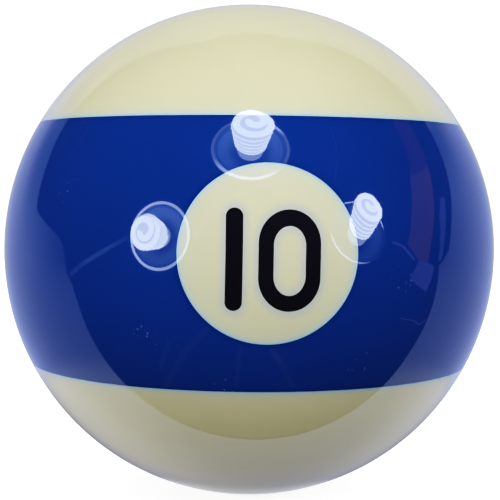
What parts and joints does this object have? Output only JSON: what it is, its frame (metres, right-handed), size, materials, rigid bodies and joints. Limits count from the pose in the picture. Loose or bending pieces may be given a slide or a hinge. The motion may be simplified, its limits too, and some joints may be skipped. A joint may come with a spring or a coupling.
{
  "type": "numbered pool ball",
  "caption": "Striped pool ball of polished ivory resin with a broad blue band and round ivory number discs on opposite sides.",
  "frame": {"origin": "the centre of the ball", "axes": "+Z square to the stripe, up through the two ivory caps; the front number faces -Y and the rear number faces +Y; +X is to the right seen from the front"},
  "size_m": [0.0572, 0.0572, 0.0572],
  "materials": {
    "ivory_resin": "polished ivory phenolic resin",
    "blue_resin": "polished deep blue phenolic resin",
    "disc_resin": "polished ivory phenolic resin",
    "black_resin": "polished black phenolic resin"
  },
  "bodies": {
    "root": {"ivory_body": "ivory_resin", "stripe_band": "blue_resin", "front_number_disc": "disc_resin", "front_digit_one": "black_resin", "front_digit_zero": "black_resin", "rear_number_disc": "disc_resin", "rear_digit_one": "black_resin", "rear_digit_zero": "black_resin"}
  },
  "joints": []
}
